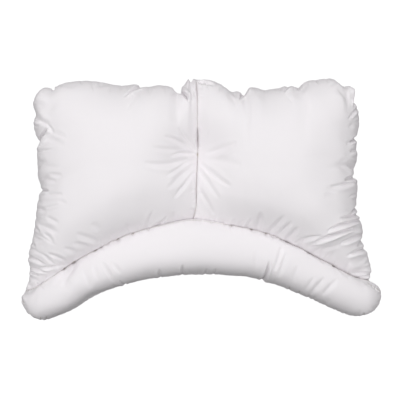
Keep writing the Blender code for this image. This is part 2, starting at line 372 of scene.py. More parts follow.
def height_share(borders, u, v):
    """Share of its full height that a chamber's cloth reaches between its four borders."""
    edges, seams, grooves = np.ones_like(u * v), np.ones_like(u * v), np.zeros_like(u * v)
    for border, distance in zip(borders, (u, 1 - u, v, 1 - v)):
        if border.share == EDGE:
            edges = both(edges, turn_over(distance / border.reach) + 0 * edges)
        else:
            seams = seams * (border.share + (1 - border.share) * swell(distance / border.reach))
            grooves = grooves + border.groove * np.exp(-((distance / GROOVE_REACH) ** 2))
    return edges * (seams - grooves)


def seam_height(places):
    """Height of the edge seam, lower towards the two bottom tips."""
    return EDGE_SEAM - SEAM_DIP * ramp((SEAM_DIP_FROM_Y - places[..., 1]) / SEAM_DIP_REACH)


def tack_depth(places):
    """How far the through stitch pulls the upper cloth down."""
    away = np.linalg.norm(places - TACK, axis=-1)
    return TACK_DEPTH * np.exp(-((away / TACK_SPREAD) ** 2))


def wing_loft(u):
    return WING_LOFT + 0 * u


def roll_loft(u):
    """The roll is thickest in its middle and slimmer towards both tips."""
    return ROLL_LOFT - (ROLL_LOFT - ROLL_TIP_LOFT) * (2 * u - 1) ** 2


print("loft in mm: wings", round(WING_LOFT / MM), "roll", round(ROLL_LOFT / MM))

# %% [markdown]
# ## The two sheets of a chamber
#
# A grid laid over the plan and lifted by the heights makes the upper sheet, and a second grid the lower
# one. They share their outer ring of points, which is the seam. Towards an edge the grid lines crowd
# together, so that the turn stays round. Where two chambers are sewn together, both end in a wall. We
# need each chamber twice, once in coarse cloth for the simulation and once in fine cloth for the picture,
# so a function makes the sheets at any step.

# %% Grids of cloth
TURN_STEPS = 5  # lines that crowd at a turned edge
WALL_STEPS = 7  # lines that climb a sewn wall
WALL_LENGTH = 0.1
Shape = namedtuple("Shape", "columns rows sewn_columns sewn_rows loft over under shift")
SHAPES = {
    "wing_left": Shape(280, 290, (True, False), (True, False), wing_loft, WING_OVER, WING_UNDER, (-1, 1)),
    "wing_right": Shape(280, 290, (True, False), (True, False), wing_loft, WING_OVER, WING_UNDER, (1, 1)),
    "neck_roll": Shape(640, 92, (False, False), (False, True), roll_loft, ROLL_OVER, ROLL_UNDER, (0, -1)),
}
Lines = namedtuple("Lines", "fraction share order")
Sheets = namedtuple("Sheets", "upper lower free to_seam columns rows")


def grid_lines(length, sewn, step):
    """Grid lines as fractions of the plan, their share of a sewn wall's height, and their order."""
    count = round(length * MM / step)
    wall = [(0.0, climb / WALL_STEPS) for climb in range(WALL_STEPS + 1)]
    turn = [((climb / TURN_STEPS) ** 2 / count, 1.0) for climb in range(TURN_STEPS)]
    starts_sewn, ends_sewn = sewn
    start, end = (wall if starts_sewn else turn), (wall if ends_sewn else turn)
    middle = [(line / count, 1.0) for line in range(1, count)]
    rows = start + middle + [(1 - fraction, share) for fraction, share in reversed(end)]
    fraction, share = np.array(rows).T
    order = fraction + WALL_LENGTH * (1 - share) * np.sign(fraction - 0.5)
    return Lines(fraction, share, order)


def seam_distance(shape, u, v):
    """Roughly how far each place of a chamber is from its nearest sewn border, in metres."""
    nearest = np.full(np.broadcast(u, v).shape, np.inf)
    sides = ((u, shape.columns), (1 - u, shape.columns), (v, shape.rows), (1 - v, shape.rows))
    for sewn, (distance, length) in zip(shape.sewn_columns + shape.sewn_rows, sides):
        if sewn:
            nearest = np.minimum(nearest, distance * length * MM)
    return nearest


def sheets_of(name, step):
    """The upper and the lower sheet of one chamber, as grids of points."""
    shape = SHAPES[name]
    columns = grid_lines(shape.columns, shape.sewn_columns, step)
    rows = grid_lines(shape.rows, shape.sewn_rows, step)
    u, v = columns.fraction[:, None], rows.fraction[None]
    free = np.minimum(columns.share[:, None], rows.share[None])
    plan = PLANS[name](columns.fraction, rows.fraction)
    seam = seam_height(plan)
    rise = (shape.loft(u) - seam) * height_share(shape.over, u, v) - tack_depth(plan)
    drop = seam * height_share(shape.under, u, v)
    place = plan - np.array(shape.shift) * SEAM_PRESS
    upper = np.dstack([place, seam + np.maximum(rise, 0) * free])
    lower = np.dstack([place, seam - drop * free])
    return Sheets(upper, lower, free, seam_distance(shape, u, v), columns, rows)


SIMULATED_STEP = 4.5 * MM
coarse = {name: sheets_of(name, SIMULATED_STEP) for name in SHAPES}
print("coarse grids:", {name: sheets.free.shape for name, sheets in coarse.items()})

# %% [markdown]
# ## From sheets to a closed cover
#
# Every square of a grid becomes a face. The lower sheet lies on the table and has no fine folds, so it
# keeps only some of its grid lines, which saves most of its faces. Its outermost faces take in all the
# points of the ring, or else the cover would not be closed. The cover also gets a map of its cloth in
# metres, which the weave follows later.

# %% Closed covers
FARTHEST = 1.0


def arc_lengths(points, axis):
    """How far along the cloth each point of a grid lies."""
    steps = np.linalg.norm(np.diff(points, axis=axis), axis=-1)
    start = np.zeros_like(np.take(steps, [0], axis=axis))
    return np.cumsum(np.concatenate([start, steps], axis=axis), axis=axis)


def kept_lines(count, ends, every):
    """The first and last lines of a grid, and only some of the lines between them."""
    return [*range(ends), *range(ends, count - ends, every), *range(count - ends, count)]


def ring_walk(column, next_column, row, next_row, last_column, last_row):
    """The grid places round one face, with every place in between where it runs along the ring."""
    up = range(column, next_column) if row == 0 else [column]
    right = range(row, next_row) if next_column == last_column else [row]
    down = range(next_column, column, -1) if next_row == last_row else [next_column]
    left = range(next_row, row, -1) if column == 0 else [next_row]
    walk = [(place, row) for place in up] + [(next_column, place) for place in right]
    return walk + [(place, next_row) for place in down] + [(column, place) for place in left]


def faces_of(columns, rows, last_column, last_row):
    """All the faces between the kept lines of a grid."""
    faces = []
    for column, next_column in zip(columns, columns[1:]):
        for row, next_row in zip(rows, rows[1:]):
            faces.append(ring_walk(column, next_column, row, next_row, last_column, last_row))
    return faces


def closed_cover(name, sheets, every):
    """The closed mesh of two sheets, with the lower one thinned out."""
    last_column, last_row = sheets.free.shape[0] - 1, sheets.free.shape[1] - 1
    ends = max(TURN_STEPS, WALL_STEPS) + 1
    columns, rows = kept_lines(last_column + 1, ends, every), kept_lines(last_row + 1, ends, every)
    upper_index = np.arange(sheets.free.size).reshape(sheets.free.shape)
    lower_index = upper_index.copy()
    inner = np.ix_(columns[1:-1], rows[1:-1])
    shape = lower_index[inner].shape
    lower_index[inner] = sheets.free.size + np.arange(math.prod(shape)).reshape(shape)
    upper_faces = faces_of(range(last_column + 1), range(last_row + 1), last_column, last_row)
    lower_faces = faces_of(columns, rows, last_column, last_row)
    faces = [[int(upper_index[place]) for place in face] for face in upper_faces]
    faces += [[int(lower_index[place]) for place in reversed(face)] for face in lower_faces]
    points = np.concatenate([sheets.upper.reshape(-1, 3), sheets.lower[inner].reshape(-1, 3)])

    mesh = bpy.data.meshes.new(name)
    mesh.from_pydata(points.tolist(), [], faces)
    over, under = (
        np.dstack([arc_lengths(sheet, 0), arc_lengths(sheet, 1)]) for sheet in (sheets.upper, sheets.lower)
    )
    walks = [(over, face) for face in upper_faces] + [(under, face[::-1]) for face in lower_faces]
    flat = np.array([cloth[place] for cloth, face in walks for place in face])
    mesh.uv_layers.new(name="cloth").uv.foreach_set("vector", flat.ravel())
    for attribute, sheet in (("free", sheets.free), ("to_seam", sheets.to_seam)):
        values = np.concatenate([sheet.ravel(), sheet[inner].ravel()])
        layer = mesh.attributes.new(attribute, "FLOAT", "POINT")
        layer.data.foreach_set("value", np.minimum(values, FARTHEST))
    mesh.shade_smooth()
    return mesh


# %% [markdown]
# ## Reading and moving a cover's points
#
# The next steps all move points, so small helpers read them into an array and write them back.

# %% Points in and out
def points_of(mesh):
    found = np.empty(len(mesh.vertices) * 3)
    mesh.vertices.foreach_get("co", found)
    return found.reshape(-1, 3)


def normals_of(mesh):
    found = np.empty(len(mesh.vertices) * 3)
    mesh.vertex_normals.foreach_get("vector", found)
    return found.reshape(-1, 3)


def values_of(mesh, attribute):
    found = np.empty(len(mesh.vertices))
    mesh.attributes[attribute].data.foreach_get("value", found)
    return found


def move_to(mesh, points):
    mesh.vertices.foreach_set("co", points.ravel())
    mesh.update()


def put_in_scene(name, mesh):
    cover = bpy.data.objects.new(name, mesh)
    bpy.context.collection.objects.link(cover)
    return cover


# %% [markdown]
# ## Filling pressure
#
# Real filling presses the cloth outwards while the seams hold it, and the cloth answers with soft bulges
# and gathers. Blender's cloth simulation does just that: the seam's points are pinned, the cloth is a
# little too large for its seams, and pressure pushes from inside. It works on the coarse sheets. The
# movement is capped, so that each chamber stays in its place, and then carried over to the fine sheets.

# %% Let the filling press
PRESSURE = 4.0
EXTRA_CLOTH = 0.035
LAST_FRAME = 20
MOST_MOVEMENT = 5 * MM


def settle(name, sheets):
    """Simulates the pressure of the filling. Returns the capped movement of both sheets."""
    cover = put_in_scene(name, closed_cover(name, sheets, 1))
    before = points_of(cover.data)
    held = np.flatnonzero((values_of(cover.data, "free") < 1) | (before[:, 2] < MM)).tolist()
    cover.vertex_groups.new(name="held").add(held, 1.0, "REPLACE")
    cloth = cover.modifiers.new("filling", "CLOTH")
    cloth.settings.use_pressure = True
    cloth.settings.uniform_pressure_force = PRESSURE
    cloth.settings.effector_weights.gravity = 0
    cloth.settings.vertex_group_mass = "held"
    cloth.settings.shrink_min = -EXTRA_CLOTH
    for frame_number in range(1, LAST_FRAME + 1):
        bpy.context.scene.frame_set(frame_number)
    pressed = cover.evaluated_get(bpy.context.evaluated_depsgraph_get())
    move = points_of(pressed.data) - before
    bpy.context.scene.frame_set(1)
    bpy.data.meshes.remove(cover.data)
    length = np.linalg.norm(move, axis=1, keepdims=True)
    move *= np.minimum(1, MOST_MOVEMENT / np.maximum(length, BARELY * MM))
    upper = move[:sheets.free.size].reshape(sheets.upper.shape)
    lower = upper.copy()
    lower[1:-1, 1:-1] = move[sheets.free.size:].reshape(lower[1:-1, 1:-1].shape)
    print(name, "moved up to", round(length.max() / MM, 1), "mm before the cap")
    return upper, lower


MOVES = {name: settle(name, sheets) for name, sheets in coarse.items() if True}

# %% [markdown]
# ## Fine cloth
#
# The picture needs cloth four times finer than the simulation does. So the fine sheets are made afresh
# from the same plan and heights, and take the movement of the coarse ones, smoothed on the way. The seams
# hold the outline, so the movement fades out near them.

# %% Carry the movement over to fine cloth
FINE_STEP = 1.15 * MM
UNDER_EVERY = 3
SMOOTHINGS = 3
SMOOTHING_LINES = 2
SEAM_FADE = 14 * MM


def smoothed(grid, axis, width):
    """Averages a grid with its neighbours along one axis."""
    padding = [(width, width) if place == axis else (0, 0) for place in range(grid.ndim)]
    padded = np.pad(grid, padding, mode="edge")
    count, shifts = grid.shape[axis], range(2 * width + 1)
    return sum(np.take(padded, range(shift, shift + count), axis=axis) for shift in shifts) / len(shifts)


def carried(move, from_sheets, to_sheets):
    """A movement of coarse sheets, spread smoothly over the lines of fine ones."""
    lines = ((from_sheets.columns, to_sheets.columns), (from_sheets.rows, to_sheets.rows))
    for axis, (old, new) in enumerate(lines):
        at = np.interp(new.order, old.order, np.arange(len(old.order)))
        low = np.minimum(at.astype(int), len(old.order) - 2)
        part = (at - low).reshape([-1 if place == axis else 1 for place in range(move.ndim)])
        move = np.take(move, low, axis=axis) * (1 - part) + np.take(move, low + 1, axis=axis) * part
    for _ in range(SMOOTHINGS):
        move = smoothed(smoothed(move, 0, SMOOTHING_LINES), 1, SMOOTHING_LINES)
    return move * to_sheets.free[..., None]


COVERS = {}
for name in SHAPES:
    sheets = sheets_of(name, FINE_STEP)
    if name in MOVES:
        moved = []
        for sheet, move in zip((sheets.upper, sheets.lower), MOVES[name]):
            off_seam = np.abs(sheet[..., 2:] - seam_height(sheet)[..., None])
            moved.append(sheet + carried(move, coarse[name], sheets) * ramp(off_seam / SEAM_FADE))
        sheets = sheets._replace(upper=moved[0], lower=moved[1])
    COVERS[name] = put_in_scene(name + "_cover", closed_cover(name + "_cover", sheets, UNDER_EVERY))
    print(name, "has", len(COVERS[name].data.polygons), "faces")

# %% [markdown]
# ## Which side is out
#
# The order of a face's corners decides which side is its outside. A closed mesh whose faces all look
# inwards has a negative volume, so one measurement shows whether to turn them.

# %% Turn the faces outwards
LITRES = 1000

for cover in COVERS.values():
    turned = bmesh.new()
    turned.from_mesh(cover.data)
    if turned.calc_volume(signed=True) < 0:
        bmesh.ops.reverse_faces(turned, faces=turned.faces)
    turned.to_mesh(cover.data)
    print(cover.name, "holds", round(turned.calc_volume() * LITRES, 1), "litres")
    turned.free()

# %% [markdown]
# ## Folds
#
# A pucker starts at a seam, where stitches gather the cloth, and fades into the chamber. A crease is
# deepest along its middle. Each row below is one fold of the pillow: where it starts and ends, how far it
# bows to its left, its half width, its depth, and its lip. The lip is the roll of cloth that stands up
# beside the fold, on its left if positive and on its right if negative. All lengths are in millimetres.

# %% Puckers of the left wing
Fold = namedtuple("Fold", "x y to_x to_y bow width depth lip")
PUCKERS, CREASES = {}, {}
PUCKERS["wing_left"] = [
    Fold(-38, 182, -19, 160, 2, 3.2, 6.5, 0.9),
    Fold(-36, 187, -22, 188, 0, 2.0, 1.5, 0.3),
    Fold(-102, 191, -130, 168, -2, 2.4, 4.5, 0.6),
    Fold(-258, 192, -247, 181, 2, 2.6, 10.0, 0.5),
    Fold(-282, 144, -247, 123, -4.5, 5.0, 3.0, 0.3),
    Fold(-276, 97, -253, 122, 0, 3.0, 4.5, -0.9),
    Fold(-278, 48, -268, 57, 0, 3.5, 2.0, 0.3),
    Fold(-272, 14, -250, 12, 2, 2.8, 4.5, -0.6),
    Fold(-284, -46, -268, -58, 0, 3.0, 2.4, 0.4),
    Fold(-288, -74, -278, -82, 0, 3.0, 2.5, 0.4),
    Fold(-294, -97, -257, -112, 1, 2.6, 2.6, -0.6),
    Fold(-295, -116, -254, -125, 1, 2.2, 2.8, -0.6),
    Fold(-296, -120, -272, -130, 0, 2.2, 3.2, -0.5),
    Fold(-298, -138, -288, -142, 0, 2.5, 2.0, 0.4),
    Fold(-74, -47, -54, -27, 0, 2.6, 2.0, 0.4),
    Fold(-90, -50, -77, -14, 1, 3.0, 1.8, 0.4),
]
print("left wing puckers:", len(PUCKERS["wing_left"]))

# %% Creases of the left wing, from the corner down and then round the through stitch
CREASES["wing_left"] = [
    Fold(-254, 184, -246, 187, -2, 1.8, 3.0, 0.3),
    Fold(-178, 188, -152, 195, 0, 3.0, 1.6, 0.3),
    Fold(-234, 193, -210, 187, 0, 5.0, 1.2, 0.2),
    Fold(-106, 184, -124, 146, 1, 3.0, 1.2, 0.4),
    Fold(-31, 183, -18, 170, 1, 2.0, -1.5, 0.0),
    Fold(-15, 205, -8, 166, -2, 1.6, 2.2, 0.5),
    Fold(-257, 124, -246, 109, 1.5, 3.0, 2.2, -0.6),
    Fold(-248, 111, -222, 103, -1, 3.6, 1.4, 0.3),
    Fold(-262, 101, -226, 88, 2, 5.0, 1.6, 0.3),
    Fold(-273, 66, -257, 61, 0, 4.0, 1.3, 0.3),
    Fold(-254, 43, -230, 40, 0, 3.0, 1.3, -0.4),
    Fold(-267, 33, -239, 29, 1, 3.4, 1.4, -0.4),
    Fold(-271, 6, -228, 8, 1, 3.2, 2.2, -0.5),
    Fold(-237, -4, -222, -8, 1, 3.0, 1.0, 0.3),
    Fold(-274, -14, -259, -23, 0, 4.0, 1.6, 0.3),
    Fold(-259, -30, -236, -39, 1, 3.4, 1.6, -0.4),
    Fold(-264, -57, -246, -71, 1, 3.0, 2.0, 0.5),
    Fold(-206, -57, -171, -71, 0, 5.0, 1.8, -0.3),
    Fold(-213, -74, -179, -80, 1, 4.0, 1.6, -0.4),
    Fold(-228, -81, -207, -88, 0, 4.0, 1.5, -0.4),
    Fold(-257, -92, -223, -105, 1, 3.0, 2.4, 0.5),
    Fold(-266, -94, -246, -109, 0, 2.8, 2.0, 0.5),
    Fold(-277, -116, -249, -112, -1, 2.3, 3.2, -0.7),
    Fold(-262, -119, -225, -110, 2, 2.2, 3.0, -0.6),
    Fold(-180, -40, -168, -52, 0, 6.0, 1.4, 0.2),
    Fold(-8, 80, -38, 119, 0, 4.0, 2.4, 0.3),
    Fold(-10, 80, -62, 104, -4, 3.5, 2.6, 0.4),
    Fold(-30, 82, -80, 85, 1, 4.0, 1.8, 0.4),
    Fold(-8, 76, -52, 71, -4, 3.0, 3.0, 0.5),
    Fold(-22, 68, -94, 60, 6, 4.5, 2.6, 0.5),
    Fold(-16, 67, -59, 37, 0, 3.0, 2.0, 0.4),
    Fold(-13, 59, -57, 16, 0, 4.5, 1.8, 0.4),
    Fold(-12, 46, -46, 1, 0, 3.2, 2.2, 0.4),
]
print("left wing creases:", len(CREASES["wing_left"]))

# %% Puckers of the right wing
PUCKERS["wing_right"] = [
    Fold(72, 182, 62, 165, 1, 2.6, 5.5, 0.6),
    Fold(54, 186, 58, 168, -1, 4.0, 2.5, 0.2),
    Fold(149, 194, 136, 176, -1, 2.8, 3.6, 0.6),
    Fold(132, 189, 134, 178, 0, 4.0, 1.8, 0.2),
    Fold(165, 194, 163, 178, 0, 2.6, 2.6, 0.5),
    Fold(248, 193, 244, 142, -1, 4.0, 0.9, -0.6),
    Fold(262, 176, 256, 152, 1, 2.2, 5.0, -0.6),
    Fold(266, 105, 246, 94, 0, 2.8, 7.5, 0.4),
    Fold(262, 84, 247, 79, 0, 3.0, 2.0, 0.4),
    Fold(262, 51, 243, 56, 0, 3.0, 1.8, 0.4),
    Fold(264, 41, 236, 31, 1, 3.2, 9.0, 0.3),
    Fold(277, -65, 260, -82, 1, 3.0, 5.0, 0.3),
    Fold(279, -84, 240, -97, -2, 3.0, 4.8, 0.5),
    Fold(289, -127, 247, -123, 0, 2.2, 2.6, 0.6),
    Fold(291, -130, 263, -132, 0, 2.0, 3.2, 0.6),
    Fold(291, -134, 282, -139, 0, 1.8, 3.2, 0.3),
    Fold(36, -42, 40, -32, 0, 2.4, 1.2, 0.3),
    Fold(66, -48, 69, -32, 0, 5.0, 1.2, 0.2),
    Fold(78, -50, 86, -28, 0, 3.0, 1.8, 0.4),
    Fold(92, -54, 98, -18, -2, 5.0, 3.8, -0.25),
    Fold(112, -59, 139, -24, -1, 5.0, 3.4, -0.25),
    Fold(124, -64, 151, -34, -1, 4.4, 3.4, -0.3),
    Fold(142, -72, 162, -44, 0, 4.6, 3.0, -0.3),
    Fold(164, -82, 176, -62, 1, 4.0, 2.6, -0.3),
]
print("right wing puckers:", len(PUCKERS["wing_right"]))

# %% Creases of the right wing, again from the top down and then round the through stitch
CREASES["wing_right"] = [
    Fold(-9, 203, 8, 200, -5, 1.8, 2.6, 0.4),
    Fold(-5, 196, 22, 190, 2, 2.4, 3.2, 0.5),
    Fold(52, 169, 58, 154, 0, 3.0, 1.1, 0.4),
    Fold(72, 180, 84, 160, -1, 3.0, 1.1, 0.3),
    Fold(141, 172, 152, 160, 0, 3.0, 0.9, 0.3),
    Fold(257, 128, 246, 118, 0, 3.6, 1.4, 0.3),
    Fold(238, 74, 250, 71, 0, 3.0, 1.2, 0.3),
    Fold(241, 91, 252, 96, 0, 3.0, 1.6, 0.3),
    Fold(247, 78, 260, 83, 0, 2.6, 2.0, 0.3),
    Fold(230, 64, 243, 66, 0, 3.4, 1.2, 0.3),
    Fold(243, 56, 257, 52, 0, 3.0, 1.8, 0.3),
    Fold(258, 28, 214, 21, 1, 3.4, 4.4, 0.25),
    Fold(206, 19, 226, 12, 0, 5.0, 1.3, 0.3),
    Fold(202, 6, 224, 2, 0, 6.0, 1.1, 0.3),
    Fold(270, 160, 245, 134, 1, 2.4, 4.6, 0.4),
    Fold(270, -8, 252, -25, 0, 2.6, 7.5, 0.3),
    Fold(275, -23, 230, -32, 1, 3.0, 7.5, 0.4),
    Fold(276, -34, 209, -53, -4, 2.8, 7.0, 0.8),
    Fold(276, -59, 231, -74, -1, 3.0, 5.5, 0.5),
    Fold(257, -48, 181, -76, -3, 2.6, 7.5, 0.7),
    Fold(250, -57, 196, -80, -2, 7.5, -1.8, 0.0),
    Fold(205, -62, 154, -75, -4, 3.0, 2.8, 0.5),
    Fold(203, -77, 177, -81, 0, 2.4, 1.8, -0.5),
    Fold(235, -74, 197, -86, 0, 3.0, 1.4, 0.4),
    Fold(-3, 82, 14, 116, 0, 3.0, 1.2, 0.3),
    Fold(8, 76, 58, 94, -1, 5.0, 2.0, -0.6),
    Fold(-2, 61, 49, 20, -2, 4.0, 2.6, 0.4),
    Fold(-4, 52, 30, 0, -1, 4.0, 2.2, 0.4),
    Fold(-4, 20, 23, -27, -1, 4.0, 1.8, 0.4),
    Fold(12, 68, 66, 56, 0, 6.0, 1.2, 0.3),
]
print("right wing creases:", len(CREASES["wing_right"]))

# %% Folds of the neck roll
PUCKERS["neck_roll"] = [
    Fold(-128, -147, -138, -134, 0, 2.2, 3.6, 0.6),
    Fold(-68, -132, -69, -114, 1, 2.2, 2.8, 0.4),
    Fold(-32, -128, -31, -106, -1, 2.2, 3.0, 0.4),
    Fold(8, -128, 11, -114, 0, 2.0, 2.2, 0.4),
    Fold(22, -128, 25, -115, 0, 2.0, 2.2, 0.4),
    Fold(102, -141, 113, -100, -2, 2.8, 5.5, -0.5),
    Fold(150, -155, 149, -146, 0, 1.8, 2.0, 0.3),
    Fold(167, -162, 166, -152, 0, 2.0, 2.0, 0.3),
    Fold(184, -171, 183, -159, 0, 2.2, 2.2, 0.3),
    Fold(191, -173, 193, -160, 0, 2.2, 2.0, 0.3),
    Fold(212, -184, 210, -173, 0, 2.0, 2.0, 0.3),
    Fold(230, -192, 229, -184, 0, 1.6, 2.4, 0.3),
    Fold(245, -197, 246, -189, 0, 1.6, 2.4, 0.3),
    Fold(275, -199, 275, -189, 0, 1.6, 2.4, 0.3),
    Fold(-306, -171, -297, -179, 0, 3.0, 2.6, 0.4),
    Fold(-292, -199, -285, -194, 0, 1.6, 2.2, 0.3),
    Fold(-270, -206, -267, -199, 0, 1.6, 2.0, 0.3),
    Fold(-262, -205, -260, -197, 0, 1.6, 2.0, 0.3),
]
CREASES["neck_roll"] = [
    Fold(52, -134, 110, -140, 0, 7.0, 3.5, 0.0),
    Fold(120, -140, 176, -164, 0, 6.0, 2.0, 0.0),
    Fold(-166, -105, -146, -139, 1, 3.6, 2.6, 0.2),
    Fold(-149, -105, -134, -125, 0, 3.5, 1.9, 0.2),
    Fold(134, -79, 122, -120, 0, 4.0, 2.6, 0.15),
    Fold(142, -90, 128, -131, 0, 4.0, 2.6, 0.15),
    Fold(206, -131, 181, -163, -1, 4.5, 2.8, 0.15),
    Fold(227, -134, 203, -160, -1, 4.5, 2.2, 0.15),
    Fold(216, -166, 210, -180, 0, 2.6, 1.2, 0.4),
    Fold(190, -128, 170, -156, 0, 4.0, 1.6, 0.15),
    Fold(160, -110, 150, -144, 0, 5.0, 1.5, 0.15),
    Fold(92, -84, 90, -120, 0, 5.0, 1.4, 0.15),
    Fold(-196, -118, -184, -150, 0, 5.0, 1.6, 0.15),
    Fold(-180, -108, -172, -134, 0, 4.0, 1.2, 0.15),
    Fold(287, -144, 291, -150, 0, 1.8, 2.5, 0.3),
    Fold(293, -149, 297, -156, 0, 1.8, 2.5, 0.3),
]
print("folds:", sum(len(rows) for table in (PUCKERS, CREASES) for rows in table.values()))

# %% [markdown]
# ## Gathers along the seams
#
# Between the main folds, a sewn seam draws the cloth into many small gathers. Nobody places those one by
# one, so a loop walks along each seam and drops a short pucker every centimetre or so, except
# where a main one starts. The random numbers are seeded, so the pillow comes out the same each time.

# %% Small gathers
Gathering = namedtuple("Gathering", "piece line apart length width depth")
LOWER_SIDE_LEFT = SIDE_EDGE_LEFT[9:]
GATHERINGS = [
    Gathering("wing_left", TOP_EDGE_LEFT, (8, 22), (8, 24), (1.8, 3.8), (0.4, 1.5)),
    Gathering("wing_left", SIDE_EDGE_LEFT, (7, 18), (10, 36), (1.8, 3.8), (0.5, 1.8)),
    Gathering("wing_left", SIDE_EDGE_LEFT, (12, 26), (30, 70), (4.5, 8.0), (-1.2, 1.8)),
    Gathering("wing_left", LOWER_SIDE_LEFT, (10, 19), (30, 62), (2.0, 3.4), (0.5, 1.5)),
    Gathering("wing_left", ROLL_SEAM_LEFT, (8, 20), (8, 22), (1.8, 3.4), (0.3, 1.2)),
    Gathering("wing_left", ROLL_SEAM_LEFT, (20, 36), (20, 40), (6.0, 9.0), (-1.2, 1.8)),
    Gathering("wing_left", CENTRE_SEAM, (12, 26), (6, 16), (2.0, 3.4), (0.2, 0.7)),
    Gathering("wing_right", TOP_EDGE_RIGHT, (8, 22), (8, 24), (1.8, 3.8), (0.4, 1.5)),
    Gathering("wing_right", SIDE_EDGE_RIGHT, (7, 18), (10, 36), (1.8, 3.8), (0.4, 1.6)),
    Gathering("wing_right", SIDE_EDGE_RIGHT, (12, 26), (30, 66), (4.5, 8.0), (-1.2, 1.8)),
    Gathering("wing_right", ROLL_SEAM_RIGHT, (8, 20), (8, 24), (1.8, 3.4), (0.4, 1.4)),
    Gathering("wing_right", ROLL_SEAM_RIGHT, (20, 36), (20, 40), (6.0, 9.0), (-1.2, 1.8)),
    Gathering("wing_right", CENTRE_SEAM, (12, 26), (6, 16), (2.0, 3.4), (0.2, 0.7)),
    Gathering("neck_roll", ROLL_FREE_EDGE, (6, 15), (6, 18), (1.6, 3.0), (0.3, 1.1)),
    Gathering("neck_roll", ROLL_SEAM, (9, 24), (5, 14), (2.0, 3.4), (0.2, 0.7)),
    Gathering("neck_roll", ROLL_END_LEFT, (6, 12), (6, 14), (1.6, 2.8), (0.5, 1.4)),
    Gathering("neck_roll", ROLL_END_RIGHT, (6, 12), (6, 14), (1.6, 2.8), (0.5, 1.4)),
]
GATHER_SEED = 24
GATHER_LEAN = 0.5
GATHER_BOW = 2
GATHER_LIP = 0.6
CLEAR_OF_FOLDS = 6.5
WALK_STEPS = 400
HEADING_STEP = 0.5


def middle_of(name):
    """The middle of a chamber's plan."""
    half = np.array([0.5])
    return PLANS[name](half, half)[0, 0]


def walk_along(line):
    """A seam's length in millimetres, and its place and heading after so many millimetres."""
    places = curve_through(line)(np.linspace(0, 1, WALK_STEPS)) / MM
    walked = np.concatenate([[0], np.cumsum(np.linalg.norm(np.diff(places, axis=0), axis=1))])

    def at(distance):
        behind, ahead = (
            np.array([np.interp(end, walked, places[:, axis]) for axis in (0, 1)])
            for end in (distance - HEADING_STEP, distance + HEADING_STEP)
        )
        return (behind + ahead) / 2, (ahead - behind) / np.linalg.norm(ahead - behind)

    return walked[-1], at


def small_gathers(gathering, draw, main):
    """Short random puckers along one seam, clear of the main ones, as rows like those in the tables."""
    length, place_at = walk_along(gathering.line)
    at, rows = draw.uniform(*gathering.apart), []
    while at < length:
        here, tangent = place_at(at)
        inward = np.array([-tangent[1], tangent[0]])
        if inward @ (middle_of(gathering.piece) / MM - here) < 0:
            inward = -inward
        heading = inward + tangent * draw.uniform(-GATHER_LEAN, GATHER_LEAN)
        end = here + heading * draw.uniform(*gathering.length)
        bow, lip = draw.uniform(-GATHER_BOW, GATHER_BOW), draw.uniform(-GATHER_LIP, GATHER_LIP)
        width, depth = draw.uniform(*gathering.width), draw.uniform(*gathering.depth)
        if all(math.dist(here, fold[:2]) > CLEAR_OF_FOLDS for fold in main):
            rows.append(Fold(*here, *end, bow, width, depth, lip))
        at += draw.uniform(*gathering.apart)
    return rows


draw = random.Random(GATHER_SEED)
MAIN = dict(PUCKERS)
for gathering in GATHERINGS:
    rows = small_gathers(gathering, draw, MAIN[gathering.piece])
    PUCKERS[gathering.piece] = PUCKERS[gathering.piece] + rows
print("puckers with the gathers:", {name: len(rows) for name, rows in PUCKERS.items()})

# %% [markdown]
# ## Gaps along the seams
#
# Between the stitches the cloth of two chambers parts here and there, and one sees a short dark gap. Each
# row of these tables is a gap: its place on the seam, how long and how wide it is, and how deep. A gap is
# nothing but a crease that lies along the seam, so it becomes one and goes into the tables of all the
# chambers that meet there.

# %% Gaps
SeamGap = namedtuple("SeamGap", "x y length width depth")
ROLL_SEAM_GAPS = [
    SeamGap(-262, -139, 60, 2.2, -1.5),
    SeamGap(-231, -118, 9, 1.5, 5.5),
    SeamGap(-215, -107, 10, 1.6, 5.5),
    SeamGap(-195, -95, 14, 1.2, 3.0),
    SeamGap(-178, -86, 9, 1.6, 5.5),
    SeamGap(-167, -81, 7, 1.3, 4.0),
    SeamGap(-156, -76, 8, 1.3, 4.0),
    SeamGap(-139, -68, 9, 1.9, 6.0),
    SeamGap(-114, -57, 8, 1.8, 6.0),
    SeamGap(-87, -50, 9, 1.6, 5.0),
    SeamGap(-58, -43, 8, 1.1, 3.0),
    SeamGap(0, -40, 6, 1.3, 4.0),
    SeamGap(19, -42, 7, 1.3, 4.5),
    SeamGap(37, -44, 6, 1.4, 4.5),
    SeamGap(51, -47, 7, 1.9, 6.0),
    SeamGap(84, -50, 8, 1.8, 6.0),
    SeamGap(109, -57, 8, 1.8, 6.0),
    SeamGap(121, -62, 7, 1.4, 4.5),
    SeamGap(145, -73, 10, 1.4, 4.5),
    SeamGap(182, -91, 8, 1.1, 3.0),
    SeamGap(223, -114, 8, 1.6, 5.5),
    SeamGap(250, -128, 8, 1.1, 3.0),
]
CENTRE_SEAM_GAPS = [
    SeamGap(-8, 183, 46, 1.6, 5.0),
    SeamGap(-6, 152, 36, 1.1, 0.8),
    SeamGap(-5, 101, 38, 1.9, 7.0),
    SeamGap(-6, 56, 46, 1.3, 2.6),
    SeamGap(-8, 14, 60, 1.5, 4.5),
    SeamGap(-10, -24, 26, 1.3, 4.0),
]


def gap_row(gap, line):
    """A crease along a seam, centred on the place of the seam that is nearest to the gap."""
    length, place_at = walk_along(line)
    centre = np.array([gap.x, gap.y])
    nearest = min(range(round(length)), key=lambda at: np.linalg.norm(place_at(at)[0] - centre))
    start, end = (place_at(nearest + side * gap.length / 2)[0] for side in (-1, 1))
    return Fold(*start, *end, 0, gap.width, gap.depth, 0)


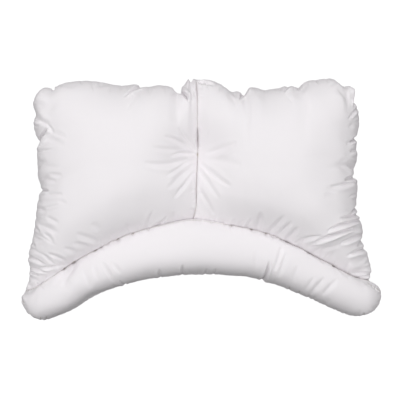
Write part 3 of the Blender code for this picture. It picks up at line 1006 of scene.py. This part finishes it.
roll_rows = [gap_row(gap, ROLL_SEAM) for gap in ROLL_SEAM_GAPS]
centre_rows = [gap_row(gap, CENTRE_SEAM) for gap in CENTRE_SEAM_GAPS]
for name in SHAPES:
    CREASES[name] = CREASES[name] + roll_rows + (centre_rows if name != "neck_roll" else [])
print("gaps:", len(roll_rows), "along the roll,", len(centre_rows), "in the centre")

# %% [markdown]
# ## Pressing the folds into the cloth
#
# Each fold is a bowed line on the plan. For the points near it we measure the distance to that line and
# how far along it they lie. One wall of the groove is steep, and the other climbs gently to the lip, as
# the sides of a crease in cotton do. All depths are summed, capped and then pushed in. On top they go
# along the cloth's normals. Near an edge they go mostly straight down, as the seam holds the outline
# there, and full depth sideways would give it a lacy rim. Only the deepest ones notch the rim a little.

# %% Fold the covers
FOLD_STEPS = 10
FOLD_REACH = 5.5
PUCKER_OVERHANG = 6 * MM
PUCKER_HELD = 0.55
PUCKER_GAIN = 1.3
PUCKER_MOUTH, PUCKER_TAPER = 1.3, 0.7
CREASE_FULLNESS, CREASE_END, CREASE_SWELL = 0.7, 0.7, 0.3
STEEP_SIDE, GENTLE_SIDE = 0.65, 1.35
CREASED, ROUNDED, ROUNDED_WIDTH = 1.4, 2.0, 8.0
LIP_AT = 1.8
LIP_WIDTH = 0.9
FAR_LIP = 0.25
LUMP_SIZE = 46 * MM
LUMP_HEIGHT = 1.6 * MM
SEAM_HOLD = 14 * MM
SEAM_TURN = 1.0 * MM
SEAM_TURN_WIDTH = 1.5 * MM
SEAM_DRAW = 1.0 * MM
SEAM_DRAW_HEIGHT = 5.0 * MM
STITCH_DRAW = 0.9 * MM
STITCH_DRAW_HEIGHT = 1.5 * MM
EDGE_NOTCH, DEEP_NOTCH = 0.12, 0.32
DEEP_FOLD, DEEPEST_FOLD = 7 * MM, 7.5 * MM
# Fold depth at which the painted shade in the folds is at its darkest.
DARKEST_FOLD = 5 * MM


def fold_depth(places, fold, is_pucker):
    """How deep one fold is at each place of the plan, in metres. The lip counts as less than nothing."""
    start, end = np.array(fold[:2]) * MM, np.array(fold[2:4]) * MM
    heading = (end - start) / np.linalg.norm(end - start)
    if is_pucker:
        start = start - heading * PUCKER_OVERHANG
    left = np.array([-heading[1], heading[0]])
    steer = (start + end) / 2 + left * 2 * fold.bow * MM
    t = np.linspace(0, 1, FOLD_STEPS)[:, None]
    line = (1 - t) ** 2 * start + 2 * t * (1 - t) * steer + t**2 * end
    reach = FOLD_REACH * fold.width * MM
    near = np.all((places > line.min(0) - reach) & (places < line.max(0) + reach), axis=1)
    depth = np.zeros(len(places))
    if not near.any():
        return depth
    step = np.diff(line, axis=0)
    from_step = places[near][:, None] - line[:-1][None]
    part = np.clip((from_step * step).sum(-1) / (step * step).sum(-1), 0, 1)
    away = from_step - part[..., None] * step
    distances = np.linalg.norm(away, axis=-1)
    closest = distances.argmin(axis=1)
    every = np.arange(len(closest))
    along = (closest + part[every, closest]) / (FOLD_STEPS - 1)
    lip_side = ((away[every, closest] @ left) > 0) == (fold.lip > 0)
    if is_pucker:
        share = PUCKER_GAIN * ramp((1 - along) / (1 - PUCKER_HELD))
        spread = PUCKER_MOUTH - PUCKER_TAPER * along
    else:
        arch = np.sin(np.pi * along)
        share, spread = arch**CREASE_FULLNESS, CREASE_END + CREASE_SWELL * arch
    roundness = clamp(fold.width / ROUNDED_WIDTH)
    side = np.where(lip_side, GENTLE_SIDE, STEEP_SIDE) ** (1 - roundness)
    across = distances[every, closest] / (fold.width * MM * spread * side)
    groove = np.exp(-(across ** (CREASED + (ROUNDED - CREASED) * roundness)))
    lip = np.where(lip_side, 1.0, FAR_LIP) * abs(fold.lip)
    ridge = lip * np.exp(-(((across - LIP_AT) / LIP_WIDTH) ** 2))
    depth[near] = fold.depth * MM * share * (groove - ridge)
    return depth


def lumps(points):
    """Soft unevenness of the filling."""
    return np.array([noise.noise(Vector(point) / LUMP_SIZE) for point in points]) * LUMP_HEIGHT


def press_folds(name, cover):
    """Pushes the folds, the lumps and the edge seam into one cover, and stores how deep the folds are for
    the painted shade in them.
    """
    points, normals = points_of(cover.data), normals_of(cover.data)
    free = values_of(cover.data, "free")
    to_seam = values_of(cover.data, "to_seam")
    loose = ramp(to_seam / SEAM_HOLD)
    places = points[:, :2] + np.array(SHAPES[name].shift) * SEAM_PRESS
    seam = seam_height(places)
    folds = sum(fold_depth(places, fold, True) for fold in PUCKERS[name])
    folds = folds + sum(fold_depth(places, fold, False) for fold in CREASES[name])
    folds = np.minimum(folds, DEEPEST_FOLD) * ramp(points[:, 2] / seam)
    off_seam = points[:, 2] - seam
    turned_in = SEAM_TURN * np.exp(-((to_seam / SEAM_TURN_WIDTH) ** 2)) * clamp(off_seam / SEAM_DRAW_HEIGHT)
    stitched = SEAM_DRAW * np.exp(-((off_seam / SEAM_DRAW_HEIGHT) ** 2))
    stitched = stitched + STITCH_DRAW * np.exp(-((off_seam / STITCH_DRAW_HEIGHT) ** 2))
    uneven = lumps(points) * ramp(points[:, 2] / seam)
    notch = EDGE_NOTCH + (DEEP_NOTCH - EDGE_NOTCH) * clamp(folds / DEEP_FOLD)
    follow = (loose * (notch + (1 - notch) * np.abs(normals[:, 2])))[:, None]
    inward = normals * follow + np.array([0, 0, 1]) * (1 - follow)
    moved = points - inward * (folds * free)[:, None]
    moved -= normals * (uneven * loose + stitched * free * loose)[:, None]
    moved[:, 2] = np.maximum(moved[:, 2] - turned_in, 0)
    move_to(cover.data, moved)
    # The fold depth, stored as the crease attribute, sets how much painted shade the cotton gets in its
    # folds.
    shade = cover.data.attributes.new("crease", "FLOAT", "POINT")
    shade.data.foreach_set("value", clamp(folds / DARKEST_FOLD))
    return folds.max()


for name, cover in COVERS.items():
    print(cover.name, "is folded up to", round(press_folds(name, cover) / MM, 1), "mm deep")

# %% [markdown]
# ## Stitches
#
# Overcast stitches join the chambers and close the ends of the roll. On the real pillow they show where the
# cloth parts: as dark specks along the roll, as a beige line above the hollow, and as small ticks round the
# tips. The specks are partly shade in the open seam, which the dark olive thread paints in. Rays from above
# find the cloth under each stitch, so it always lies on the folds, and a round thread is swept along it.
# Its ends dive into the cloth.

# %% Where the stitches run
Stitching = namedtuple("Stitching", "name line start stop apart length slant radius")
STITCHINGS = [
    Stitching("roll_seam_stitches", ROLL_SEAM, 4, 0, 3.6, 2.6, 0.45, 0.26),
    Stitching("centre_seam_stitches", CENTRE_SEAM, 6, 0, 3.2, 2.8, 0.35, 0.30),
    Stitching("hollow_bar_tack", [(-6, 83), (-6, 75), (-6, 67)], 6, 6, 0.9, 4.2, 0.0, 0.34),
]
Tick = namedtuple("Tick", "x y to_x to_y")
TIP_TICKS = [
    Tick(281, -141, 284, -145), Tick(286, -144, 289, -148), Tick(291, -147, 294, -151),
    Tick(296, -150, 299, -154), Tick(301, -154, 303, -158), Tick(150, -153, 149, -147),
    Tick(167, -161, 166, -154), Tick(184, -168, 183, -162), Tick(212, -182, 211, -177),
    Tick(230, -190, 229, -185), Tick(246, -196, 245, -190), Tick(275, -197, 275, -191),
    Tick(-289, -198, -287, -193), Tick(-272, -203, -270, -198), Tick(-263, -203, -261, -198),
    Tick(-304, -174, -299, -176), Tick(-303, -180, -298, -179),
]
TICK_RADIUS = 0.32
OPEN_GAP = 5.0
# The dark olive thread in the wide gaps is partly painted shade of the open seam.
GAP_SHADE_THREAD_SHARE = 0.5
GAP_SHADE_THREAD_RADIUS = 0.6
STITCH_POINTS = 7
STITCH_SINK = 1.2 * MM
DIVE_POWER = 3
DIVING_POINTS = 2
RAY_START = 0.2
THREAD_SIDES = 8


def cloth_height(trees, x, y):
    """Height of the upper cloth at one place of the plan, in metres, or None beside the pillow."""
    hits = [tree.ray_cast(Vector((x, y, RAY_START)), Vector((0, 0, -1)))[0] for tree in trees]
    return max([hit.z for hit in hits if hit is not None], default=None)


def laid_thread(trees, start, end, radius, bridges):
    """Points of a stitch that dives into the cloth at both ends. One that bridges a seam stays high."""
    parts = np.linspace(0, 1, STITCH_POINTS)
    places = [(np.array(start) * (1 - part) + np.array(end) * part) * MM for part in parts]
    heights = [cloth_height(trees, x, y) for x, y in places]
    if None in heights:
        return []
    lowest = max(heights[DIVING_POINTS:-DIVING_POINTS]) if bridges else 0.0
    points = []
    for part, (x, y), height in zip(parts, places, heights):
        dive = (STITCH_SINK + 2 * radius * MM) * abs(2 * part - 1) ** DIVE_POWER
        points.append(Vector((x, y, max(height + radius * MM, lowest) - dive)))
    return points


def thread_tube(mesh, points, radius):
    """Adds a round closed tube along the points to a mesh."""
    rings = []
    for index, point in enumerate(points):
        ahead = (points[min(index + 1, len(points) - 1)] - points[max(index - 1, 0)]).normalized()
        side = ahead.cross(Vector((0, 0, 1))).normalized()
        up = side.cross(ahead)
        turns = [2 * math.pi * corner / THREAD_SIDES for corner in range(THREAD_SIDES)]
        spokes = [side * math.cos(turn) + up * math.sin(turn) for turn in turns]
        rings.append([mesh.verts.new(point + spoke * radius * MM) for spoke in spokes])
    for ring, after in zip(rings, rings[1:]):
        for corner in range(THREAD_SIDES):
            beside = (corner + 1) % THREAD_SIDES
            mesh.faces.new((ring[corner], ring[beside], after[beside], after[corner]))
    mesh.faces.new(rings[0][::-1])
    mesh.faces.new(rings[-1])


def stitch_ends(stitching):
    """Both ends of each stitch of one row, across its seam."""
    length, place_at = walk_along(stitching.line)
    ends, at = [], stitching.start
    while at < length - stitching.stop:
        here, heading = place_at(at)
        across = np.array([-heading[1], heading[0]]) + heading * stitching.slant
        half = across / np.linalg.norm(across) * stitching.length / 2
        ends.append((here - half, here + half))
        at += stitching.apart
    return ends


def sewn_piece(name, ends, radius, trees, bridges):
    """One object with all the stitches of a row."""
    tubes = bmesh.new()
    for start, end in ends:
        points = laid_thread(trees, start, end, radius, bridges)
        if points:
            thread_tube(tubes, points, radius)
    bmesh.ops.recalc_face_normals(tubes, faces=tubes.faces)
    mesh = bpy.data.meshes.new(name)
    tubes.to_mesh(mesh)
    tubes.free()
    mesh.shade_smooth()
    print(name, "has", len(ends), "stitches")
    return put_in_scene(name, mesh)


# %% [markdown]
# ## Sewing
#
# The rays need the folded covers, so the sewing comes after them. The wide gaps also get a thicker piece of
# dark olive thread that lies along the seam. It makes the dark speck there: partly thread, partly painted
# shade.

# %% Sew
def gap_shade_thread(row):
    """Both ends of the dark thread that shows in one wide gap, partly thread and partly painted shade."""
    middle = np.array([row.x + row.to_x, row.y + row.to_y]) / 2
    half = np.array([row.to_x - row.x, row.to_y - row.y]) / 2
    return middle - half * GAP_SHADE_THREAD_SHARE, middle + half * GAP_SHADE_THREAD_SHARE


TREES = []
for cover in COVERS.values():
    cloth = bmesh.new()
    cloth.from_mesh(cover.data)
    TREES.append(BVHTree.FromBMesh(cloth))
    cloth.free()
SEWN = {row.name: sewn_piece(row.name, stitch_ends(row), row.radius, TREES, True) for row in STITCHINGS}
tick_ends = [(tick[:2], tick[2:]) for tick in TIP_TICKS]
SEWN["tip_stitches"] = sewn_piece("tip_stitches", tick_ends, TICK_RADIUS, TREES, False)
gap_shade_ends = [gap_shade_thread(row) for row in roll_rows if row.depth > OPEN_GAP]
SEWN["gap_shade_threads"] = sewn_piece("gap_shade_threads", gap_shade_ends, GAP_SHADE_THREAD_RADIUS, TREES, False)

# %% [markdown]
# ## Cotton cambric
#
# The cover is fine white cotton. Three small node groups make it: a plain weave from two sets of waves,
# a mottle for the uneven filling behind thin cloth, and thread slubs. They are groups, because the thread
# uses some of them too. The cloth's own map in metres keeps the weave in line with the cloth wherever it
# turns over an edge.

# %% Weave group
THREADS_PER_METRE = 2400.0


def new_group(name, inputs, outputs):
    """An empty shader group with named number, vector and colour sockets."""
    group = bpy.data.node_groups.new(name, "ShaderNodeTree")
    for socket, kind in inputs.items():
        group.interface.new_socket(socket, in_out="INPUT", socket_type="NodeSocket" + kind)
    for socket, kind in outputs.items():
        group.interface.new_socket(socket, in_out="OUTPUT", socket_type="NodeSocket" + kind)
    return group, group.nodes.new("NodeGroupInput"), group.nodes.new("NodeGroupOutput")


def math_node(tree, operation, first, second=None):
    """One Math node, whose inputs are sockets or numbers. Returns its output."""
    node = tree.nodes.new("ShaderNodeMath")
    node.operation = operation
    for socket, value in zip(node.inputs, (first, second)):
        if isinstance(value, bpy.types.NodeSocket):
            tree.links.new(value, socket)
        elif value is not None:
            socket.default_value = value
    return node.outputs[0]


def weave_group():
    """Plain weave: each warp thread goes over one weft thread and under the next."""
    inputs = {"Map": "Vector", "Threads": "Float"}
    group, start, end = new_group("cambric_weave", inputs, {"Height": "Float"})
    scaled = group.nodes.new("ShaderNodeVectorMath")
    scaled.operation = "SCALE"
    split = group.nodes.new("ShaderNodeSeparateXYZ")
    group.links.new(start.outputs["Map"], scaled.inputs[0])
    group.links.new(start.outputs["Threads"], scaled.inputs["Scale"])
    group.links.new(scaled.outputs["Vector"], split.inputs[0])
    warp, weft = split.outputs["X"], split.outputs["Y"]
    profiles = []
    for across, along, phase in ((warp, weft, 0.0), (weft, warp, math.pi)):
        half_turns = math_node(group, "MULTIPLY", across, math.pi)
        rounded = math_node(group, "ABSOLUTE", math_node(group, "SINE", half_turns))
        turn = math_node(group, "ADD", along, math_node(group, "FLOOR", across))
        turned = math_node(group, "MULTIPLY", turn, math.pi)
        wave = math_node(group, "SINE", math_node(group, "ADD", turned, phase))
        over = math_node(group, "ADD", math_node(group, "MULTIPLY", wave, 0.5), 0.5)
        profiles.append(math_node(group, "MULTIPLY", rounded, over))
    group.links.new(math_node(group, "MAXIMUM", *profiles), end.inputs["Height"])
    return group


WEAVE = weave_group()
print("weave:", THREADS_PER_METRE * MM, "threads to a millimetre")


# %% [markdown]
# ## Mottle and slubs
#
# No cotton is quite even. The filling shows through in soft patches, and a yarn is thicker here and there,
# which weavers call a slub. Plain noise makes the patches. The same noise makes the slubs when it is
# stretched along the warp and along the weft.

# %% Mottle and slub groups
MOTTLE_DETAIL = 3.0
ALONG_YARN, ACROSS_YARN = 60.0, 900.0


def mottle_group():
    """Soft patches between 0 and 1, in any size."""
    group, start, end = new_group("soft_mottle", {"Place": "Vector", "Scale": "Float"}, {"Value": "Float"})
    patches = group.nodes.new("ShaderNodeTexNoise")
    patches.inputs["Detail"].default_value = MOTTLE_DETAIL
    group.links.new(start.outputs["Place"], patches.inputs["Vector"])
    group.links.new(start.outputs["Scale"], patches.inputs["Scale"])
    group.links.new(patches.outputs["Fac"], end.inputs["Value"])
    return group


def slub_group():
    """Threads that are thicker here and there: noise stretched along one direction of the weave."""
    group, start, end = new_group("thread_slubs", {"Map": "Vector"}, {"Value": "Float"})
    streaks = []
    for stretch in ((ALONG_YARN, ACROSS_YARN, 1.0), (ACROSS_YARN, ALONG_YARN, 1.0)):
        scaled = group.nodes.new("ShaderNodeVectorMath")
        scaled.operation = "MULTIPLY"
        scaled.inputs[1].default_value = stretch
        streak = group.nodes.new("ShaderNodeTexNoise")
        streak.inputs["Scale"].default_value = 1.0
        group.links.new(start.outputs["Map"], scaled.inputs[0])
        group.links.new(scaled.outputs["Vector"], streak.inputs["Vector"])
        streaks.append(streak.outputs["Fac"])
    group.links.new(math_node(group, "MAXIMUM", *streaks), end.inputs["Value"])
    return group


MOTTLE, SLUBS = mottle_group(), slub_group()
print("groups:", ", ".join(group.name for group in bpy.data.node_groups))

# %% [markdown]
# ## The cotton itself
#
# Now the groups come together in one material. Its colour, roughness and bump all follow them, so no patch
# of cloth is quite like the next. Deep folds get painted shade: their colour is darker, because these
# grooves are shallower than real creases and let in more light. Some sheen gives the soft edge of fine
# cotton.

# %% Cotton material
COTTON = (0.86, 0.815, 0.84, 1.0)
COTTON_MOTTLED = (0.835, 0.79, 0.82, 1.0)
# Colour of the painted shade in deep folds.
PAINTED_FOLD_SHADE = (0.50, 0.46, 0.46, 1.0)
MOTTLE_SCALE = 22.0
WRINKLE_SCALE = 140.0
SHEEN = 0.25
ROUGH_LOW, ROUGH_HIGH = 0.78, 0.92
FOLD_SHADE = 0.7
SHEEN_ROUGHNESS = 0.5
SHINE = 0.3
WRINKLE_BUMP = (0.5 * MM, 0.5)
SLUB_BUMP = (0.06 * MM, 0.5)
WEAVE_BUMP = (0.04 * MM, 0.6)


def place_group(tree, group, **values):
    """Puts a node group into a material and sets its inputs to sockets or numbers."""
    node = tree.nodes.new("ShaderNodeGroup")
    node.node_tree = group
    for name, value in values.items():
        if isinstance(value, bpy.types.NodeSocket):
            tree.links.new(value, node.inputs[name])
        else:
            node.inputs[name].default_value = value
    return node


def mix_colours(tree, share, first, second):
    """One Mix node for colours. Returns its output."""
    node = tree.nodes.new("ShaderNodeMix")
    node.data_type = "RGBA"
    tree.links.new(share, node.inputs["Factor"])
    for socket, value in ((node.inputs["A"], first), (node.inputs["B"], second)):
        if isinstance(value, bpy.types.NodeSocket):
            tree.links.new(value, socket)
        else:
            socket.default_value = value
    return node.outputs["Result"]


def bump(tree, height, distance, strength, below=None):
    """One Bump node, over another one if that is given."""
    node = tree.nodes.new("ShaderNodeBump")
    node.inputs["Distance"].default_value = distance
    node.inputs["Strength"].default_value = strength
    tree.links.new(height, node.inputs["Height"])
    if below is not None:
        tree.links.new(below, node.inputs["Normal"])
    return node.outputs["Normal"]


def cotton_cambric(name):
    material = bpy.data.materials.new(name)
    material.use_nodes = True
    tree = material.node_tree
    shader = tree.nodes["Principled BSDF"]
    cloth_map = tree.nodes.new("ShaderNodeUVMap")
    cloth_map.uv_map = "cloth"
    place = tree.nodes.new("ShaderNodeTexCoord").outputs["Object"]
    fold = tree.nodes.new("ShaderNodeAttribute")
    fold.attribute_name = "crease"
    mottle = place_group(tree, MOTTLE, Place=place, Scale=MOTTLE_SCALE).outputs["Value"]
    wrinkle = place_group(tree, MOTTLE, Place=place, Scale=WRINKLE_SCALE).outputs["Value"]
    slubs = place_group(tree, SLUBS, Map=cloth_map.outputs["UV"]).outputs["Value"]
    weave = place_group(tree, WEAVE, Map=cloth_map.outputs["UV"], Threads=THREADS_PER_METRE)

    cloth = mix_colours(tree, math_node(tree, "MULTIPLY", mottle, slubs), COTTON, COTTON_MOTTLED)
    # Painted shade: the deeper the fold, the more the cotton's colour turns to the dark fold colour.
    shaded = math_node(tree, "MULTIPLY", fold.outputs["Fac"], FOLD_SHADE)
    cloth = mix_colours(tree, shaded, cloth, PAINTED_FOLD_SHADE)
    tree.links.new(cloth, shader.inputs["Base Color"])
    rough = tree.nodes.new("ShaderNodeMapRange")
    rough.inputs["To Min"].default_value = ROUGH_LOW
    rough.inputs["To Max"].default_value = ROUGH_HIGH
    tree.links.new(slubs, rough.inputs["Value"])
    tree.links.new(rough.outputs["Result"], shader.inputs["Roughness"])
    soft = bump(tree, wrinkle, *WRINKLE_BUMP)
    slubbed = bump(tree, slubs, *SLUB_BUMP, soft)
    woven = bump(tree, weave.outputs["Height"], *WEAVE_BUMP, slubbed)
    tree.links.new(woven, shader.inputs["Normal"])
    shader.inputs["Sheen Weight"].default_value = SHEEN
    shader.inputs["Sheen Roughness"].default_value = SHEEN_ROUGHNESS
    shader.inputs["Specular IOR Level"].default_value = SHINE
    return material


# %% [markdown]
# ## Thread
#
# Sewing thread is two strands twisted together. A wave that runs slantwise round the thread gives both the
# ridges and the darker grooves between the strands. It has to work without a map, so it follows the place.

# %% Thread material
OLIVE_THREAD, OLIVE_SHADE = (0.46, 0.43, 0.35, 1.0), (0.30, 0.27, 0.20, 1.0)
BEIGE_THREAD, BEIGE_SHADE = (0.68, 0.63, 0.56, 1.0), (0.50, 0.45, 0.38, 1.0)
TWIST_SCALE = 900.0
TWIST_UNEVENNESS = 1.5
TWIST_BUMP = (0.1 * MM, 0.7)
FUZZ_SCALE = 4 * WRINKLE_SCALE
THREAD_ROUGH_LOW, THREAD_ROUGH_HIGH = 0.6, 0.85


def sewing_thread(name, light, dark):
    material = bpy.data.materials.new(name)
    material.use_nodes = True
    tree = material.node_tree
    shader = tree.nodes["Principled BSDF"]
    place = tree.nodes.new("ShaderNodeTexCoord").outputs["Object"]
    twist = tree.nodes.new("ShaderNodeTexWave")
    twist.wave_type = "BANDS"
    twist.bands_direction = "DIAGONAL"
    twist.inputs["Scale"].default_value = TWIST_SCALE
    twist.inputs["Distortion"].default_value = TWIST_UNEVENNESS
    tree.links.new(place, twist.inputs["Vector"])
    fuzz = place_group(tree, MOTTLE, Place=place, Scale=FUZZ_SCALE).outputs["Value"]
    shade = math_node(tree, "MULTIPLY", twist.outputs["Fac"], fuzz)
    tree.links.new(mix_colours(tree, shade, light, dark), shader.inputs["Base Color"])
    rough = tree.nodes.new("ShaderNodeMapRange")
    rough.inputs["To Min"].default_value = THREAD_ROUGH_LOW
    rough.inputs["To Max"].default_value = THREAD_ROUGH_HIGH
    tree.links.new(fuzz, rough.inputs["Value"])
    tree.links.new(rough.outputs["Result"], shader.inputs["Roughness"])
    tree.links.new(bump(tree, twist.outputs["Fac"], *TWIST_BUMP), shader.inputs["Normal"])
    shader.inputs["Sheen Weight"].default_value = SHEEN
    return material


olive = sewing_thread("olive_thread", OLIVE_THREAD, OLIVE_SHADE)
beige = sewing_thread("beige_thread", BEIGE_THREAD, BEIGE_SHADE)
for name, piece in SEWN.items():
    # The olive thread in the wide gaps is partly painted shade of the open seam.
    piece.data.materials.append(beige if name.startswith(("centre", "hollow")) else olive)
print("threads:", olive.name, "and", beige.name)

# %% [markdown]
# ## Dressing the covers
#
# The wings and the roll are cut from the same cotton, but they have slots of their own. So the material is
# made twice, under the slots' names, and one can be changed without the other.

# %% Dress the covers
SLOTS = {"wing_left": "wing_cotton", "wing_right": "wing_cotton", "neck_roll": "roll_cotton"}
for slot in sorted(set(SLOTS.values())):
    cotton_cambric(slot)
for name, cover in COVERS.items():
    cover.data.materials.clear()
    cover.data.materials.append(bpy.data.materials[SLOTS[name]])
print("materials:", ", ".join(material.name for material in bpy.data.materials))

# %% [markdown]
# ## Riding on the body
#
# Each cover rides on the pillow's one body and stands for its plain solid, which is hidden. The stitches
# ride on the body too. The last lines print the solid box and the dressed box, to show that the pillow
# hasn't outgrown its size.

# %% Ride and replace
for name, cover in COVERS.items():
    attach(cover, "root")
    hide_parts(name)
for piece in SEWN.values():
    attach(piece, "root")

# %% Sizes
dressed_low, dressed_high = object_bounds()
boxes = {
    "solids": [list(solid_low), list(solid_high)],
    "dressed": [list(dressed_low), list(dressed_high)],
}
for name, (low, high) in boxes.items():
    print(name, "in mm:", [round(value / MM, 1) for value in low + high])
